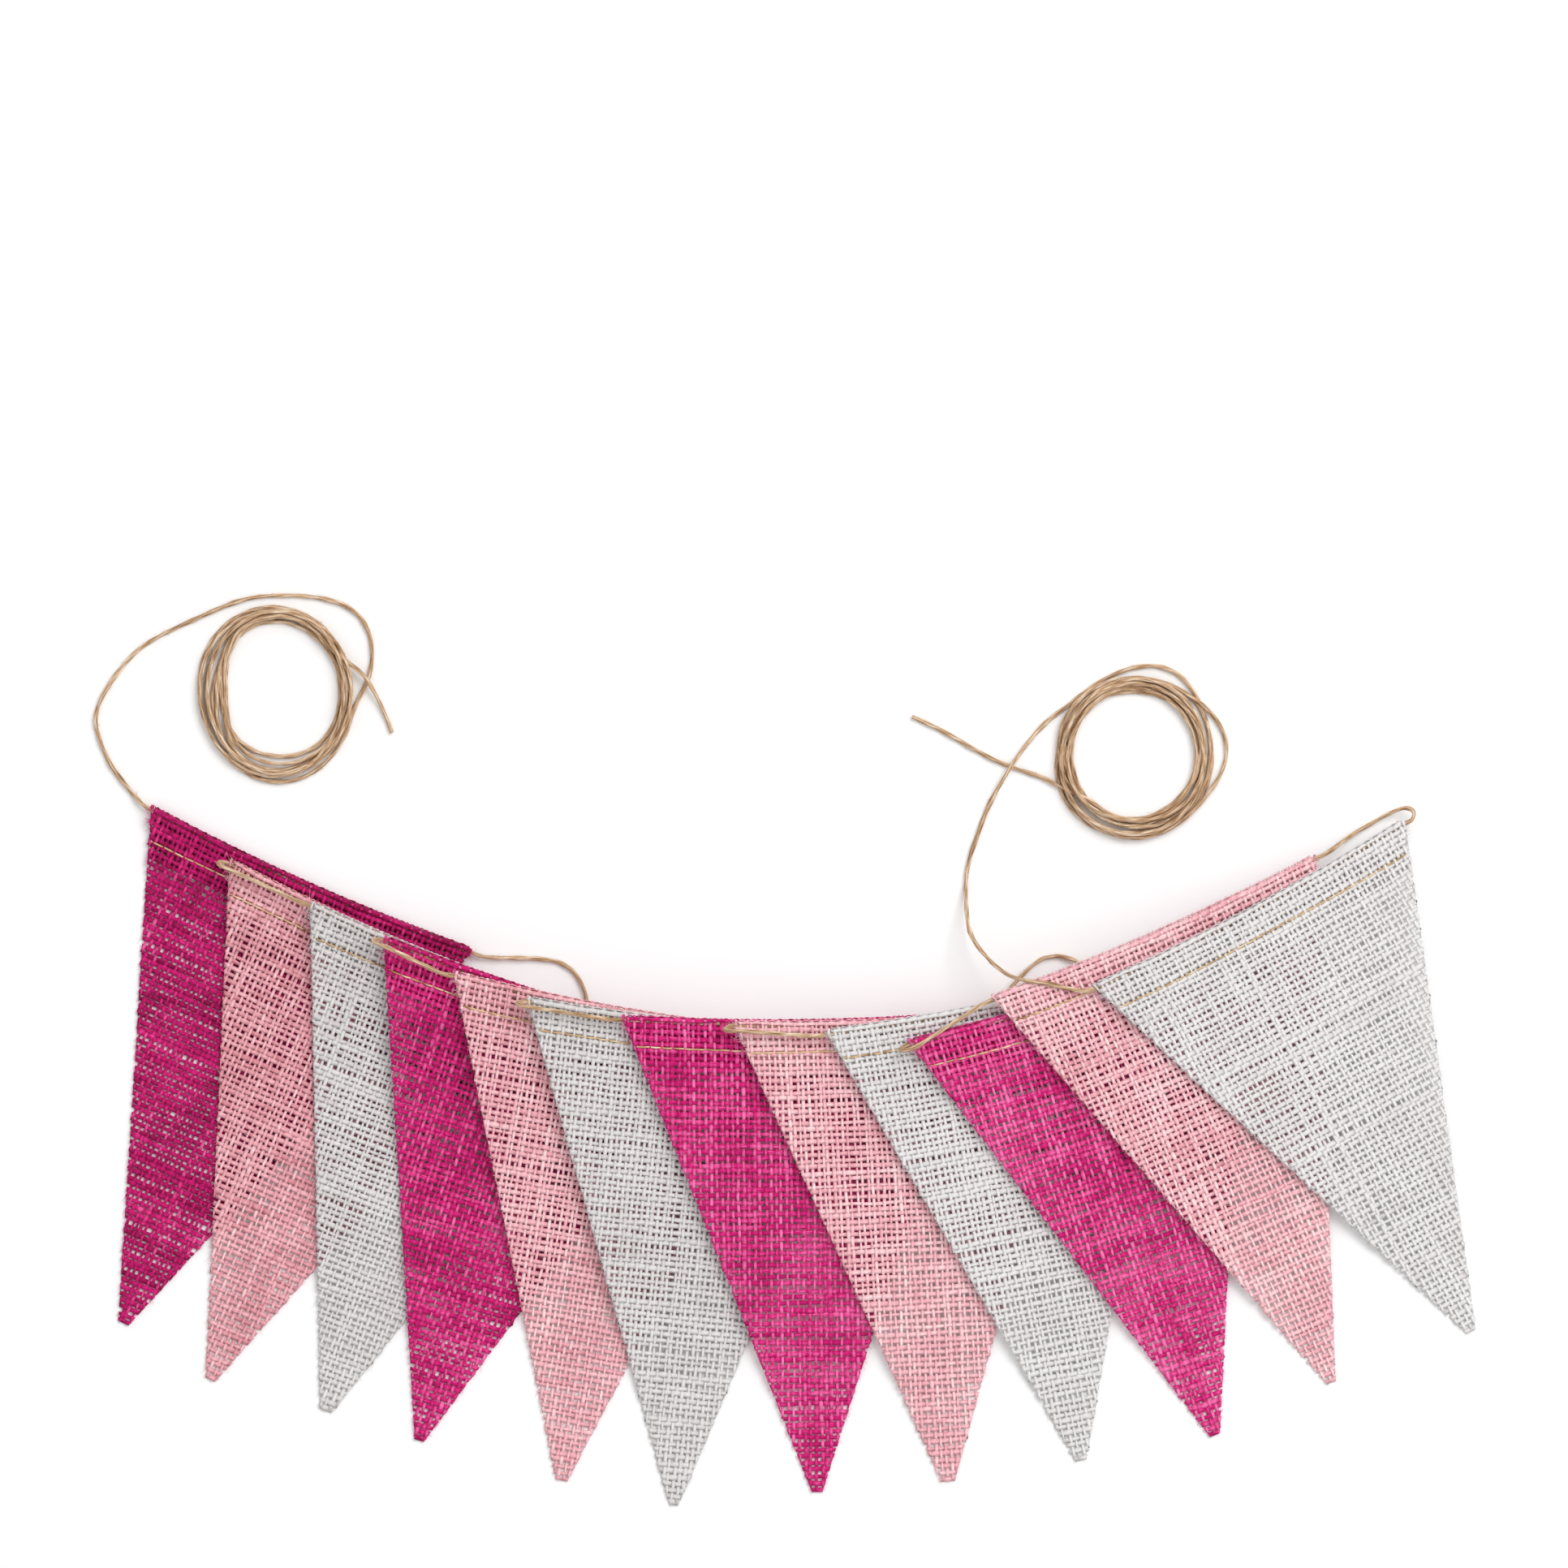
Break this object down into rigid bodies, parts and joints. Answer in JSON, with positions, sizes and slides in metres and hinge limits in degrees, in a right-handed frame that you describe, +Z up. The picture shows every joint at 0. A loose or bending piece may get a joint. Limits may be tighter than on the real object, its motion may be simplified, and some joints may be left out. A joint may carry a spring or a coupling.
{
  "type": "fabric bunting",
  "caption": "Bunting of triangular hessian pennants in magenta, pink and white, strung on jute twine and laid out in a fan, with the twine's free ends coiled.",
  "frame": {"origin": "on the table, under the middle of the fan of pennants, the two tied ends left out", "axes": "+X along the fan from the first pennant to the last, +Y from the points towards the hems, +Z up from the table"},
  "size_m": [0.507, 0.335, 0.0284],
  "materials": {
    "hessian_magenta": "open plain weave of dyed jute",
    "hessian_pink": "open plain weave of dyed jute",
    "hessian_white": "open plain weave of bleached jute",
    "jute_twine": "hairy twisted jute"
  },
  "bodies": {
    "root": {"pennant_01": "hessian_magenta", "pennant_02": "hessian_pink", "pennant_03": "hessian_white", "pennant_04": "hessian_magenta", "pennant_05": "hessian_pink", "pennant_06": "hessian_white", "pennant_07": "hessian_magenta", "pennant_08": "hessian_pink", "pennant_09": "hessian_white", "pennant_10": "hessian_magenta", "pennant_11": "hessian_pink", "pennant_12": "hessian_white", "twine_strung": "jute_twine", "left_tie_lead": "jute_twine", "left_tie_coil": "jute_twine", "left_tie_end": "jute_twine", "right_tie_lead": "jute_twine", "right_tie_coil": "jute_twine", "right_tie_end": "jute_twine"}
  },
  "joints": []
}
